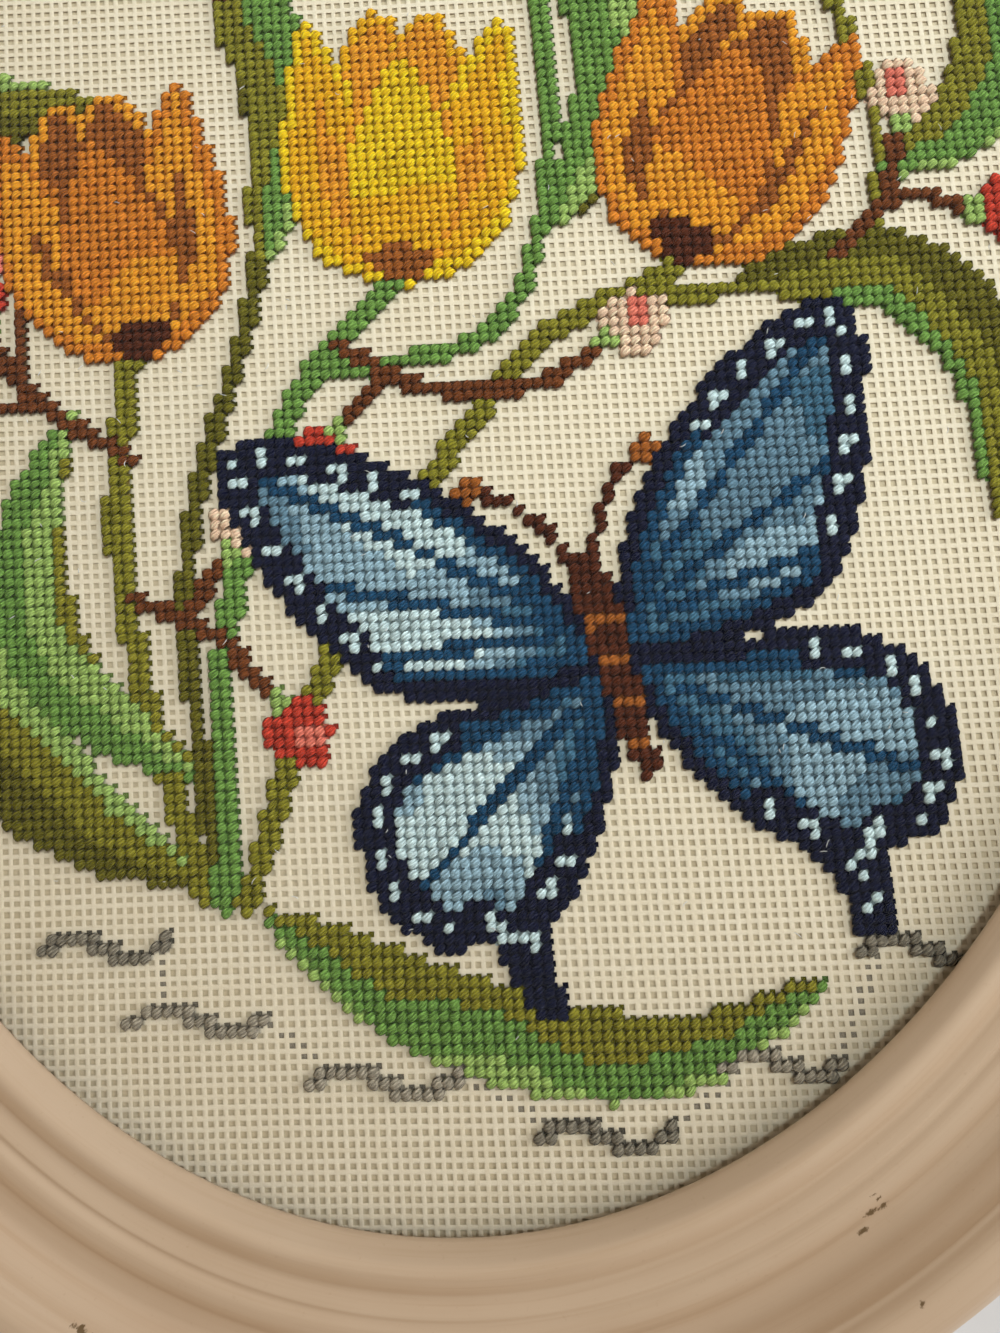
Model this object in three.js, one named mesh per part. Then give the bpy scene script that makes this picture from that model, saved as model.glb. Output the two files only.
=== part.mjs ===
// Needlework picture under glass in an oval painted moulding, lying on its back.
//
// Units are millimetres. The origin is the centre of the frame's back face. +X is the picture's
// right, +Y its top, and +Z points out of its face. Every piece is oval, and an offset r from the
// sight edge runs round the oval with semi-axes (SIGHT_X + r, SIGHT_Y + r), the way an oval
// turning lathe carries its cutter.
import * as THREE from 'three';

// The picture, sold as 12 in by 16 in, and what the frame's lip leaves of it in sight.
const PICTURE_X = 152.4;
const PICTURE_Y = 203.2;
const LIP = 6.4;
const SIGHT_X = PICTURE_X - LIP;
const SIGHT_Y = PICTURE_Y - LIP;

// The stack inside the rebate, from the back, with a fitting gap between pieces.
const GAP = 0.3;
const BOARD_THICK = 3.0;
const CANVAS_THICK = 2.4;
const GLASS_THICK = 2.0;
const BOARD_Z = 0;
const CANVAS_Z = BOARD_Z + BOARD_THICK + GAP;
const GLASS_Z = CANVAS_Z + CANVAS_THICK + GAP;
const SHELF_Z = GLASS_Z + GLASS_THICK + GAP;
const REBATE_R = LIP + 0.4;

// The moulding's section: r outwards from the sight edge, z up from the back.
const MOULDING_WIDTH = 42.5;
const BACK_CHAMFER = 0.6;
const LIP_NOSE = 1.3;
const SIDE_TOP_Z = 10;

const ROUND_STEPS = 96;

const PAINT = { color: 0xc8af96, roughness: 0.42, metalness: 0 };
const GLASS = { color: 0xf2f6f4, roughness: 0.03, metalness: 0, transparent: true, opacity: 0.2 };
const COTTON = { color: 0xd9ccab, roughness: 0.9, metalness: 0 };
const CARD = { color: 0x8a7a5c, roughness: 0.95, metalness: 0 };

// The face of the moulding, member by member from the sight edge outwards. Each member is a
// quadratic curve from the end of the last one to its own end, pulled towards its bend.
const MEMBERS = [
  { name: 'lip nose', bend: [0, SHELF_Z + 0.6], end: [0.1, SHELF_Z + LIP_NOSE], steps: 1 },
  { name: 'lip bevel', bend: [1.1, 11.4], end: [2.4, 13.1], steps: 2 },
  { name: 'bead, rising', bend: [3.1, 14.0], end: [4.4, 14.0], steps: 2 },
  { name: 'bead, falling', bend: [5.8, 13.9], end: [8.4, 11.9], steps: 3 },
  { name: 'quirk beside the bead', bend: [8.9, 11.5], end: [9.6, 11.7], steps: 1 },
  { name: 'band, rising', bend: [10.7, 12.4], end: [12.6, 12.7], steps: 2 },
  { name: 'scratched line', bend: [13.3, 11.8], end: [14.1, 12.6], steps: 2 },
  { name: 'band, crown', bend: [14.9, 13.2], end: [16.2, 13.0], steps: 2 },
  { name: 'band, falling', bend: [18.4, 12.7], end: [19.9, 11.2], steps: 3 },
  { name: 'valley', bend: [21.3, 10.8], end: [23.3, 10.85], steps: 2 },
  { name: 'cove, lower sweep', bend: [24.4, 10.9], end: [25.3, 12.4], steps: 2 },
  { name: 'cove, step', bend: [26.2, 14.0], end: [27.2, 14.9], steps: 1 },
  { name: 'cove, upper sweep', bend: [28.2, 15.9], end: [28.8, 17.9], steps: 2 },
  { name: 'quirk above the cove', bend: [29.1, 17.8], end: [29.5, 18.3], steps: 1 },
  { name: 'shoulder, rising', bend: [30.3, 20.1], end: [32.4, 20.3], steps: 2 },
  { name: 'shoulder, falling', bend: [42.1, 20.0], end: [MOULDING_WIDTH, SIDE_TOP_Z], steps: 5 },
];

/** The point at share t of the quadratic curve from start to end, pulled towards bend. */
function onCurve(start, bend, end, t) {
  const s = 1 - t;
  return [0, 1].map((k) => s * s * start[k] + 2 * s * t * bend[k] + t * t * end[k]);
}

/** The moulding's closed section, clockwise seen with r to the right and z up. */
function mouldingSection() {
  const face = [[0, SHELF_Z]];
  for (const { bend, end, steps } of MEMBERS) {
    const start = face.at(-1);
    for (let i = 1; i <= steps; i += 1) {
      face.push(onCurve(start, bend, end, i / steps));
    }
  }
  const back = [
    [MOULDING_WIDTH, BACK_CHAMFER],
    [MOULDING_WIDTH - BACK_CHAMFER, 0],
    [REBATE_R, 0],
    [REBATE_R, SHELF_Z],
  ];
  return [...face, ...back];
}

/** A closed oval ring: the section carried round the sight edge's oval. */
function ovalRing(section) {
  const positions = [];
  const indices = [];
  const count = section.length;
  for (let step = 0; step < ROUND_STEPS; step += 1) {
    const angle = (2 * Math.PI * step) / ROUND_STEPS;
    for (const [r, z] of section) {
      positions.push((SIGHT_X + r) * Math.cos(angle), (SIGHT_Y + r) * Math.sin(angle), z);
    }
  }
  for (let step = 0; step < ROUND_STEPS; step += 1) {
    const here = step * count;
    const next = ((step + 1) % ROUND_STEPS) * count;
    for (let i = 0; i < count; i += 1) {
      const j = (i + 1) % count;
      indices.push(here + i, here + j, next + j, here + i, next + j, next + i);
    }
  }
  const geometry = new THREE.BufferGeometry();
  geometry.setAttribute('position', new THREE.Float32BufferAttribute(positions, 3));
  geometry.setIndex(indices);
  geometry.computeVertexNormals();
  return geometry;
}

/** A flat oval sheet or board of the picture's full size. */
function ovalSheet(thickness) {
  const outline = new THREE.Shape();
  outline.absellipse(0, 0, PICTURE_X, PICTURE_Y, 0, 2 * Math.PI, false, 0);
  const options = { depth: thickness, bevelEnabled: false, curveSegments: ROUND_STEPS / 2 };
  return new THREE.ExtrudeGeometry(outline, options);
}

/** A named piece of one material, its lowest face at height z. */
function piece(name, geometry, finish, z = 0) {
  const mesh = new THREE.Mesh(geometry, new THREE.MeshStandardMaterial(finish));
  mesh.name = name;
  mesh.position.z = z;
  return mesh;
}

const picture = new THREE.Group();
picture.add(
  piece('oval_frame', ovalRing(mouldingSection()), PAINT),
  piece('glass_pane', ovalSheet(GLASS_THICK), GLASS, GLASS_Z),
  piece('canvas', ovalSheet(CANVAS_THICK), COTTON, CANVAS_Z),
  piece('backing_board', ovalSheet(BOARD_THICK), CARD, BOARD_Z),
);

export default picture;
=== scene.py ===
"""A needlework picture on open canvas, under glass in an oval painted moulding, lying on its back.

Everything is in metres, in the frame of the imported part: the origin is the centre of the frame's
back, +X the picture's right, +Y its top, and +Z points out of its face.
"""

import bpy
import numpy as np
from bpy.props import FloatProperty, FloatVectorProperty, IntProperty, PointerProperty
from mathutils import Matrix, Vector


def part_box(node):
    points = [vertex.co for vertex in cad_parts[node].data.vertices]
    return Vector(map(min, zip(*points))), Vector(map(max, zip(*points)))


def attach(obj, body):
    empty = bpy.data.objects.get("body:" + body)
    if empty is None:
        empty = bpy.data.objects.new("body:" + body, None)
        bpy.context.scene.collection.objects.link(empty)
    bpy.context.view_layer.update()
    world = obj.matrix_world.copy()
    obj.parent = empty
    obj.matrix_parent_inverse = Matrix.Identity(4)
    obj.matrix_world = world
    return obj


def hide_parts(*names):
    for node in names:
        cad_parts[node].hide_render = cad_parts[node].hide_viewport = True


bl_info = {
    "name": "Oval Needlework Picture",
    "version": (1, 0, 0),
    "blender": (4, 5, 0),
    "location": "3D View > Sidebar > Picture",
    "description": "Builds a wool picture on open canvas in an oval painted frame",
    "category": "Add Mesh",
}

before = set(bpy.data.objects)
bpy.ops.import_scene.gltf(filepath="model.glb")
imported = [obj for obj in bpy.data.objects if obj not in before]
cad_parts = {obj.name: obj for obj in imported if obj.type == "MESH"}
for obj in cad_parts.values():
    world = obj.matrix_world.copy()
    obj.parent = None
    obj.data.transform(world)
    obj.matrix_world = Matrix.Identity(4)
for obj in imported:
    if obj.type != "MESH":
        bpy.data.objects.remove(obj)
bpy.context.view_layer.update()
FRAME_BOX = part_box("oval_frame")
CANVAS_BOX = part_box("canvas")
GLASS_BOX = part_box("glass_pane")
BOARD_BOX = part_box("backing_board")

MM = 0.001
LIP = 6.4 * MM
PICTURE = np.array([CANVAS_BOX[1].x, CANVAS_BOX[1].y])
SIGHT = PICTURE - LIP
MOULDING_WIDTH = FRAME_BOX[1].x - SIGHT[0]


# ---------------------------------------------------------------------------------------------
# Colours and sizes that a maker would change
# ---------------------------------------------------------------------------------------------


def tone(code):
    """A colour written as six hexadecimal digits, as the linear values that Blender keeps."""
    c = np.array([int(code[i : i + 2], 16) for i in (0, 2, 4)]) / 255
    linear = np.where(c <= 0.04045, c / 12.92, ((c + 0.055) / 1.055) ** 2.4)
    return tuple(float(v) for v in linear)


def shade(label, about, code):
    """A colour setting."""
    return FloatVectorProperty(
        name=label, description=about, default=tone(code), subtype="COLOR", size=3, min=0, max=1
    )


def number(label, about, default, low=0.0, high=1000.0, **more):
    """A number setting."""
    return FloatProperty(name=label, description=about, default=default, min=low, max=high, **more)


def length(label, about, default, low=0.0, high=1.0):
    """A length setting, in metres."""
    return number(label, about, default, low, high, unit="LENGTH", precision=5)


def times(colour, *factors):
    """A colour times one factor, or one for each of its three parts, held at white."""
    return [min(1.0, c * k) for c, k in zip(colour, factors * (3 // len(factors)))]


def turned(x, y, angle):
    """A vector turned anticlockwise by an angle in radians."""
    return x * np.cos(angle) - y * np.sin(angle), x * np.sin(angle) + y * np.cos(angle)


# The wools, each with the colour of its lit strands.
YARNS = {
    "navy": "0a102e",
    "deep_blue": "144668",
    "mid_blue": "426e88",
    "slate_blue": "698b9f",
    "sky_blue": "98b7c6",
    "aqua": "cae0e3",
    "lemon": "f7c916",
    "gold": "f7b316",
    "ochre": "f59f26",
    "orange": "dc8325",
    "rust": "a25b20",
    "umber": "56250d",
    "bark": "743d18",
    "moss": "6b6516",
    "olive": "8b8524",
    "leaf": "729b47",
    "sprig": "a0be66",
    "crimson": "ca3f2b",
    "coral": "f27e6a",
    "blush": "f7cfb0",
    "pewter": "a49a88",
    "smoke": "8a8272",
}


class MouldingSettings(bpy.types.PropertyGroup):
    """Sizes and colours of the oval moulding."""

    steps_round: IntProperty(
        name="Steps Round", description="Sections round the oval", default=320, min=96, max=640
    )
    section_step: length("Section Step", "Step along the moulding's face", 0.34 * MM, 0.1 * MM, 2 * MM)
    softness: length("Softness", "How far the paint rounds the corners", 0.24 * MM, 0.05 * MM, 1 * MM)
    paint: shade("Paint", "Satin paint on the moulding", "ccb69e")
    # Painted shade: this colour darkens the hollows of the moulding, and also colours its grit specks.
    hollow_shade_and_grit: shade("Paint in the Hollows", "Thicker, dirtier paint in the quirks", "a3835f")
    worn: shade("Chipped", "Old ground under the chipped paint", "66502f")
    raw_wood: shade("Bare Wood", "Unpainted pine of the back and the rebate", "b98f5f")


class CanvasSettings(bpy.types.PropertyGroup):
    """Sizes and colours of the canvas and of the board behind it."""

    column_pitch: length("Column Pitch", "Step between upright threads", 2.108 * MM, 1 * MM, 4 * MM)
    row_pitch: length("Row Pitch", "Step between level threads", 2.093 * MM, 1 * MM, 4 * MM)
    lean: number("Lean of the Columns", "How far upright threads lean to the left", 0.079, -0.3, 0.3)
    rise: number("Rise of the Rows", "How far the level threads climb to the right", 0.029, -0.3, 0.3)
    thread_width: length("Thread Width", "Width of a canvas thread", 1.00 * MM, 0.2 * MM, 2 * MM)
    thread_depth: length("Thread Depth", "Thickness of a canvas thread", 0.30 * MM, 0.2 * MM, 2 * MM)
    weave: length("Weave Height", "Rise of a thread over the one it crosses", 0.022 * MM, 0, 1 * MM)
    cotton: shade("Cotton", "Stiff cream thread of the canvas", "e3d8c2")
    # Painted shade on the threads' sides between crossings; also the colour of darker fibres and of
    # each thread's tone.
    cotton_dark: shade("Cotton, Shaded", "Where the thread turns down at its sides", "cdb88e")
    lining: shade("Lining", "Face of the board behind the canvas", "cfc1a5")
    board: shade("Board", "Pressed board seen at the back", "8a7a5c")


class WoolSettings(bpy.types.PropertyGroup):
    """Sizes and colours of the stitches."""

    __annotations__ = {
        "stitch_width": length("Stitch Width", "Widest part of a stitch", 2.10 * MM, 0.5 * MM, 3 * MM),
        "stitch_depth": length("Stitch Depth", "Thickness of a stitch", 0.86 * MM, 0.2 * MM, 2 * MM),
        "stitch_top": length("Stitch Top", "Height of a strand over the canvas", 4.62 * MM, 0, 0.01),
        "stitch_foot": length("Stitch Foot", "Height of a strand in the holes", 3.72 * MM, 0, 0.01),
        **{
            name: shade(name.replace("_", " ").title(), "Wool of the picture", code)
            for name, code in YARNS.items()
        },
    }


class StageSettings(bpy.types.PropertyGroup):
    """Light and floor."""

    window: number("Window", "Power of the window lamp", 17.0, unit="POWER")
    skylight: number("Skylight", "Power of the soft spot over the picture's middle", 20.3, unit="POWER")
    room: number("Room", "Strength of the warm light from all round", 0.53)
    daylight: number("Daylight", "Strength of the even light on the floor alone", 2.65)
    floor: shade("Floor", "Pale floor", "c9ccd0")


# ---------------------------------------------------------------------------------------------
# Meshes and materials
# ---------------------------------------------------------------------------------------------


def outward(points, faces):
    """The faces turned to point outwards: six times the volume is the sum over triangles of one
    corner times the cross product of the other two, and it must come out positive."""
    triangles = [f[:, (0, k, k + 1)] for f in faces for k in range(1, f.shape[1] - 1)]
    a, b, c = points[np.concatenate(triangles)].transpose(1, 0, 2)
    inside_out = np.einsum("ij,ij->", a, np.cross(b, c)) < 0
    return [f[:, ::-1] if inside_out else f for f in faces]


def build_mesh(name, points, faces, fields=None, smooth=True):
    """A mesh object from an array of points and one of faces for each number of corners. fields
    holds values for each point: one number, three for a vector, or four for a colour. smooth is
    one flag, or one for each face."""
    corners = np.concatenate([f.ravel() for f in faces]).astype(np.int32)
    sizes = np.concatenate([np.full(len(f), f.shape[1]) for f in faces])
    starts = np.concatenate([[0], np.cumsum(sizes)[:-1]]).astype(np.int32)
    mesh = bpy.data.meshes.new(name)
    mesh.vertices.add(len(points))
    mesh.vertices.foreach_set("co", np.ascontiguousarray(points, np.float32).ravel())
    mesh.loops.add(len(corners))
    mesh.loops.foreach_set("vertex_index", corners)
    mesh.polygons.add(len(sizes))
    mesh.polygons.foreach_set("loop_start", starts)
    mesh.polygons.foreach_set("use_smooth", np.broadcast_to(smooth, len(sizes)).astype(bool))
    mesh.update(calc_edges=True)
    kinds = {1: ("FLOAT", "value"), 3: ("FLOAT_VECTOR", "vector"), 4: ("FLOAT_COLOR", "color")}
    for field, values in (fields or {}).items():
        values = np.asarray(values, np.float32).reshape(len(points), -1)
        kind, key = kinds[values.shape[1]]
        mesh.attributes.new(field, kind, "POINT").data.foreach_set(key, values.ravel())
    if mesh.validate():
        raise RuntimeError(f"{name}: the mesh had faces that Blender had to repair")
    piece = bpy.data.objects.new(name, mesh)
    bpy.context.scene.collection.objects.link(piece)
    return piece


def make_piece(name, shape, *materials, smooth=True, slot=None, stands_for=None):
    """A piece of the part from its points, faces and fields, with its materials, the body it rides on
    and the node it stands for. The argument slot is not used."""
    points, faces, fields = shape
    piece = build_mesh(name, points, outward(points, faces), fields, smooth)
    for material in materials:
        piece.data.materials.append(material)
    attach(piece, "root")
    if stands_for:
        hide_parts(stands_for)
    return piece


def at_height(flat, height):
    """Points (x, y), each with its height."""
    return np.concatenate([flat, height[..., None]], -1)


def tube(rings, sides):
    """The faces of a tube whose points are numbered ring by ring, and of the fans that close it,
    whose tips are the two points after the last ring: its quads and its triangles."""
    i, j = np.arange(rings - 1)[:, None] * sides, np.arange(sides)
    k = (j + 1) % sides
    quads = np.stack([i + j, i + sides + j, i + sides + k, i + k], -1).reshape(-1, 4)
    last, tip = (rings - 1) * sides, np.full(sides, rings * sides)
    fans = [np.stack([tip, j, k], -1), np.stack([tip + 1, last + k, last + j], -1)]
    return quads, np.concatenate(fans)


def repeated(faces, size, count):
    """The faces of one small shape of size points, again for each of count such shapes."""
    return (size * np.arange(count)[:, None, None] + faces).reshape(-1, faces.shape[1])


class Tree:
    """A node tree under construction."""

    def __init__(self, tree):
        self.links, self.nodes = tree.links, tree.nodes

    def wire(self, socket, value):
        """Sets a socket to a number or colour, or links it to another socket."""
        if isinstance(value, bpy.types.NodeSocket):
            self.links.new(value, socket)
        elif hasattr(value, "__len__"):
            socket.default_value = tuple(value) + (1.0,) * (len(socket.default_value) - len(value))
        else:
            socket.default_value = value

    def add(self, kind, *values, output=0, **settings):
        """A node of that kind with its settings, its inputs filled in order, and its output."""
        node = self.nodes.new("ShaderNode" + kind)
        for key, value in settings.items():
            setattr(node, key, value)
        for socket, value in zip(node.inputs, values):
            self.wire(socket, value)
        return node.outputs[output]

    def math(self, operation, *values):
        """Arithmetic on one, two or three numbers."""
        return self.add("Math", *values, operation=operation)


class Finish(Tree):
    """A material under construction: its node tree and its one Principled shader."""

    def __init__(self, name, **constants):
        self.material = bpy.data.materials.new(name)
        self.material.use_nodes = True
        super().__init__(self.material.node_tree)
        self.shader = self.nodes["Principled BSDF"]
        self.done(**constants)

    def done(self, **values):
        """Sets or links the named sockets of the shader and returns the material."""
        for socket, value in values.items():
            self.wire(self.shader.inputs[socket.replace("_", " ")], value)
        return self.material

    def field(self, name, output="Vector"):
        """A value that the mesh carries: Vector, Color, Alpha or Fac."""
        return self.add("Attribute", attribute_name=name, output=output)

    def place(self):
        """The point on the piece, in its own coordinates."""
        return self.add("TexCoord", output="Object")

    def stretch(self, vector, scale, turn=(0, 0, 0)):
        """A vector scaled and turned."""
        return self.add("Mapping", vector, (0, 0, 0), turn, scale)

    def sum(self, first, second):
        """Two vectors added."""
        return self.add("VectorMath", first, second, operation="ADD")

    def noise(self, vector, scale, detail=2.0, roughness=0.5):
        """Cloudy noise, about 0.5 on average. scale is one number, or one for each axis."""
        if isinstance(scale, tuple):
            vector, scale = self.stretch(vector, scale), 1.0
        node = self.nodes.new("ShaderNodeTexNoise")
        sockets = {"Vector": vector, "Scale": scale, "Detail": detail, "Roughness": roughness}
        for socket, value in sockets.items():
            self.wire(node.inputs[socket], value)
        return node.outputs["Fac"]

    def ramp(self, value, low, high, out_low=0.0, out_high=1.0):
        """A value between low and high, carried smoothly to out_low and out_high."""
        return self.add(
            "MapRange", value, low, high, out_low, out_high, interpolation_type="SMOOTHSTEP"
        )

    def mix(self, share, first, second):
        """Two colours mixed by a share."""
        node = self.nodes.new("ShaderNodeMix")
        node.data_type = "RGBA"
        for socket, value in ((0, share), (6, first), (7, second)):
            self.wire(node.inputs[socket], value)
        return node.outputs[2]

    def veil(self, colour, value, low, high, share, over):
        """A colour, with as much as share of another over it where a value is high, and none where
        it is low."""
        return self.mix(self.ramp(value, low, high, 0.0, share), colour, over)

    def bump(self, height, distance, strength=1.0, below=None):
        """A bump of that height in metres, over another one if given."""
        node = self.nodes.new("ShaderNodeBump")
        sockets = {"Strength": strength, "Distance": distance, "Height": height, "Normal": below}
        for socket, value in sockets.items():
            if value is not None:
                self.wire(node.inputs[socket], value)
        return node.outputs["Normal"]


def recoat(node, material):
    """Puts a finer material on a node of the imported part."""
    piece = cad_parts[node]
    if not piece.material_slots:
        piece.data.materials.append(material)
    for material_slot in piece.material_slots:
        material_slot.material = material
    return piece


# ---------------------------------------------------------------------------------------------
# The moulding
# ---------------------------------------------------------------------------------------------

# The face of the moulding in millimetres, member by member from the sight edge outwards. Each is
# a quadratic curve from the end of the last to its own end, pulled towards its bend: (distance
# from the sight edge, height over the back).
SHELF_Z = GLASS_BOX[1].z / MM + 0.3
MEMBERS = (
    ("lip nose", (0, 8.9), (0.1, 9.6)),
    ("lip bevel", (1.1, 11.4), (2.4, 13.1)),
    ("bead, rising", (3.1, 14.0), (4.4, 14.0)),
    ("bead, falling", (5.8, 13.9), (8.4, 11.9)),
    ("quirk beside the bead", (8.9, 11.5), (9.6, 11.7)),
    ("band, rising", (10.7, 12.4), (12.6, 12.7)),
    ("scratched line", (13.3, 11.8), (14.1, 12.6)),
    ("band, crown", (14.9, 13.2), (16.2, 13.0)),
    ("band, falling", (18.4, 12.7), (19.9, 11.2)),
    ("valley", (21.3, 10.8), (23.3, 10.85)),
    ("cove, lower sweep", (24.4, 10.9), (25.3, 12.4)),
    ("cove, step", (26.2, 14.0), (27.2, 14.9)),
    ("cove, upper sweep", (28.2, 15.9), (28.8, 17.9)),
    ("quirk above the cove", (29.1, 17.8), (29.5, 18.3)),
    ("shoulder, rising", (30.3, 20.1), (32.4, 20.3)),
    ("shoulder, falling", (42.1, 20.0), (42.5, 10)),
)
# The section's side, back and rebate, and the depth at which a hollow counts as full, in millimetres.
BACK = (
    *((42.5, 5.0), (42.5, 0.6), (41.9, 0.0), (24.0, 0.0)),
    *((6.8, 0.0), (6.8, 4.0), (6.8, SHELF_Z), (3.0, SHELF_Z)),
)
HOLLOW_DEPTH = 0.45


def quadratic(start, bend, end, count):
    """Points of a quadratic curve after its start: (1-t)^2 start + 2t(1-t) bend + t^2 end."""
    t = np.linspace(0, 1, count + 1)[1:, None]
    start, bend, end = (np.asarray(p, float) for p in (start, bend, end))
    return (1 - t) ** 2 * start + 2 * t * (1 - t) * bend + t**2 * end


def even_steps(line, step):
    """The polyline's points again, at equal distances of about step along it."""
    along = np.concatenate([[0], np.cumsum(np.hypot(*np.diff(line, axis=0).T))])
    marks = np.linspace(0, along[-1], max(2, round(along[-1] / step)) + 1)
    return np.stack([np.interp(marks, along, line[:, k]) for k in (0, 1)], 1), marks


def soften(values, reach):
    """Values averaged with their neighbours by a bell curve whose width is reach steps. The ends
    are held by continuing the line straight on beyond them."""
    half = int(np.ceil(3 * reach))
    bell = np.exp(-0.5 * (np.arange(-half, half + 1) / reach) ** 2)
    bell /= bell.sum()
    before = 2 * values[0] - values[half:0:-1]
    after = 2 * values[-1] - values[-2 : -half - 2 : -1]
    return np.convolve(np.concatenate([before, values, after]), bell, "valid")


def moulding_section(settings):
    """The section as (r, z) in metres, with the length along it and how hollow it is at each point,
    and the number of points on its face.

    The members' curves are joined, stepped evenly and softened like coats of paint. A point is
    hollow by the height that it lies under the section's own average over a few millimetres, fully
    so at HOLLOW_DEPTH, but not near the lip or the outer edge."""
    face = [np.array([(0.0, SHELF_Z)])]
    for _, bend, end in MEMBERS:
        face.append(quadratic(face[-1][-1], bend, end, 24))
    step = settings.section_step / MM
    face, along = even_steps(np.concatenate(face), step)
    soft = np.stack([soften(part, settings.softness / MM / step) for part in face.T], 1)
    soft[0], soft[-1] = face[0], face[-1]
    soft[:, 0] = np.clip(soft[:, 0], 0, MOULDING_WIDTH / MM)
    # How hollow each point is; the paint darkens the hollows by it as painted shade.
    hollow = np.clip((soften(soft[:, 1], 1.6 / step) - soft[:, 1]) / HOLLOW_DEPTH, 0, 1)
    hollow[(along < 5) | (along > along[-1] - 8)] = 0
    section = np.concatenate([soft, BACK])
    along = np.concatenate([along, along[-1] + np.arange(1, len(BACK) + 1) * 5])
    hollow = np.concatenate([hollow, np.zeros(len(BACK))])
    return section * MM, along * MM, hollow, len(soft)


def moulding_surface(settings):
    """The section carried round the sight edge's oval: at angle a, a point (r, z) of the section
    lies at ((sight x + r) cos a, (sight y + r) sin a, z). Also says which quads are on its face.

    The field course holds the length along the section and then a circle that goes once round, so
    that brush strokes run round the oval. The field spot holds the distance from the sight edge
    and the length round it."""
    section, along, hollow, face_count = moulding_section(settings)
    rounds, count = settings.steps_round, len(section)
    angle = np.linspace(0, 2 * np.pi, rounds, endpoint=False)[:, None]
    r, z = section.T

    def over_all(*parts):
        spread = [np.broadcast_to(part, (rounds, count)) for part in parts]
        return np.stack(spread, -1).reshape(-1, len(parts))

    points = over_all((SIGHT[0] + r) * np.cos(angle), (SIGHT[1] + r) * np.sin(angle), z)
    arc = ((angle + np.pi) % (2 * np.pi) - np.pi) * SIGHT.mean()
    fields = {
        "course": over_all(along, np.cos(angle) * SIGHT[0], np.sin(angle) * SIGHT[0]),
        "spot": over_all(r, arc, 0.0),
        "hollow": over_all(hollow),
    }
    i, j = np.arange(rounds)[:, None], np.arange(count)
    here, there, after = i * count, (i + 1) % rounds * count, (j + 1) % count
    quads = np.stack([here + j, here + after, there + after, there + j], -1).reshape(-1, 4)
    return (points, [quads], fields), over_all(j <= face_count)[:, 0]


# Places where the paint has chipped, each a short strip that runs with the moulding: distance from
# the sight edge in millimetres, angle on the oval in degrees, half length and half width in
# millimetres.
CHIPS = (
    (18.9, -61.5, 1.5, 0.75),
    (19.5, -60.7, 1.3, 0.6),
    (21.2, -62.4, 1.0, 0.65),
    (16.3, -60.9, 0.5, 0.3),
    (17.4, -60.7, 0.5, 0.3),
    (31.6, -61.7, 0.7, 0.5),
    (28.8, -111.6, 1.8, 0.35),
    (30.2, 128.0, 1.4, 0.6),
    (13.9, 41.0, 1.1, 0.4),
    (38.5, 8.0, 1.2, 0.8),
)


# The paint's other tones, as factors of its colour: dusty, umber in the strokes, and pale for the
# painted highlight on the outer edge.
PAINT_TONES = ((0.90, 0.86, 0.82), (0.80, 0.72, 0.62), (1.38, 1.48, 1.60))
# Distances from the sight edge between which the painted highlight on the outer edge fades in.
EDGE_HIGHLIGHT_FROM_TO = (38.5 * MM, 42.4 * MM)


def satin_paint(settings):
    """Brushed satin paint. Fine strokes and broad streaks run round the oval, the hollows are darkened
    as painted shade, the outer edge has a pale painted highlight, and a few chips bare the old ground."""
    f = Finish("satin_paint", Specular_IOR_Level=0.5, Coat_Weight=0.2, Coat_Roughness=0.25)
    course, spot, place = f.field("course"), f.field("spot"), f.place()
    strokes = f.noise(course, (1500, 22, 22), 3.0, 0.6)
    streaks = f.noise(course, (430, 13, 13), 3.0, 0.6)
    clouds = f.noise(place, 26, 3.0, 0.55)
    grit = f.noise(place, 900, 2.0, 0.6)
    dusty, umber, edge_highlight = (times(settings.paint, *k) for k in PAINT_TONES)
    colour = f.veil(settings.paint, clouds, 0.3, 0.7, 0.45, dusty)
    colour = f.veil(colour, strokes, 0.50, 0.78, 0.26, umber)
    colour = f.veil(colour, streaks, 0.48, 0.74, 0.34, umber)
    # Painted highlight: the outer edge of the shoulder is paler, broken up by the strokes.
    edge = f.ramp(f.add("SeparateXYZ", spot), *EDGE_HIGHLIGHT_FROM_TO)
    colour = f.mix(f.math("MULTIPLY", edge, f.ramp(strokes, 0.3, 0.6, 0.25, 0.55)), colour, edge_highlight)
    colour = f.veil(colour, grit, 0.62, 0.85, 0.22, settings.hollow_shade_and_grit)
    # Painted shade: the hollows are darkened towards the hollow colour.
    colour = f.mix(f.math("MULTIPLY", f.field("hollow", "Fac"), 0.12), colour, settings.hollow_shade_and_grit)
    ragged = f.math("MULTIPLY", f.math("SUBTRACT", f.noise(spot, 1100, 3.0, 0.65), 0.5), 1.6 * MM)
    chipped = 0.0
    for r, angle, long, wide in CHIPS:
        centre = (-r * MM, -float(np.radians(angle) * SIGHT.mean()), 0.0)
        here = f.stretch(f.sum(spot, centre), (1.0, wide / long, 1.0))
        away = f.math("ADD", f.add("VectorMath", here, operation="LENGTH", output=1), ragged)
        inside = f.ramp(away, 0.45 * wide * MM, 1.15 * wide * MM, 1.0, 0.0)
        chipped = f.math("MAXIMUM", inside, chipped)
    colour = f.mix(f.math("MULTIPLY", chipped, 0.95), colour, settings.worn)
    roughness = f.math("MULTIPLY_ADD", chipped, 0.35, f.ramp(clouds, 0.3, 0.7, 0.38, 0.50))
    height = f.math("MULTIPLY_ADD", strokes, 0.5, f.math("MULTIPLY", grit, 0.35))
    height = f.math("MULTIPLY_ADD", chipped, -2.0, height)
    return f.done(Base_Color=colour, Roughness=roughness, Normal=f.bump(height, 0.00006, 0.6))


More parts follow.
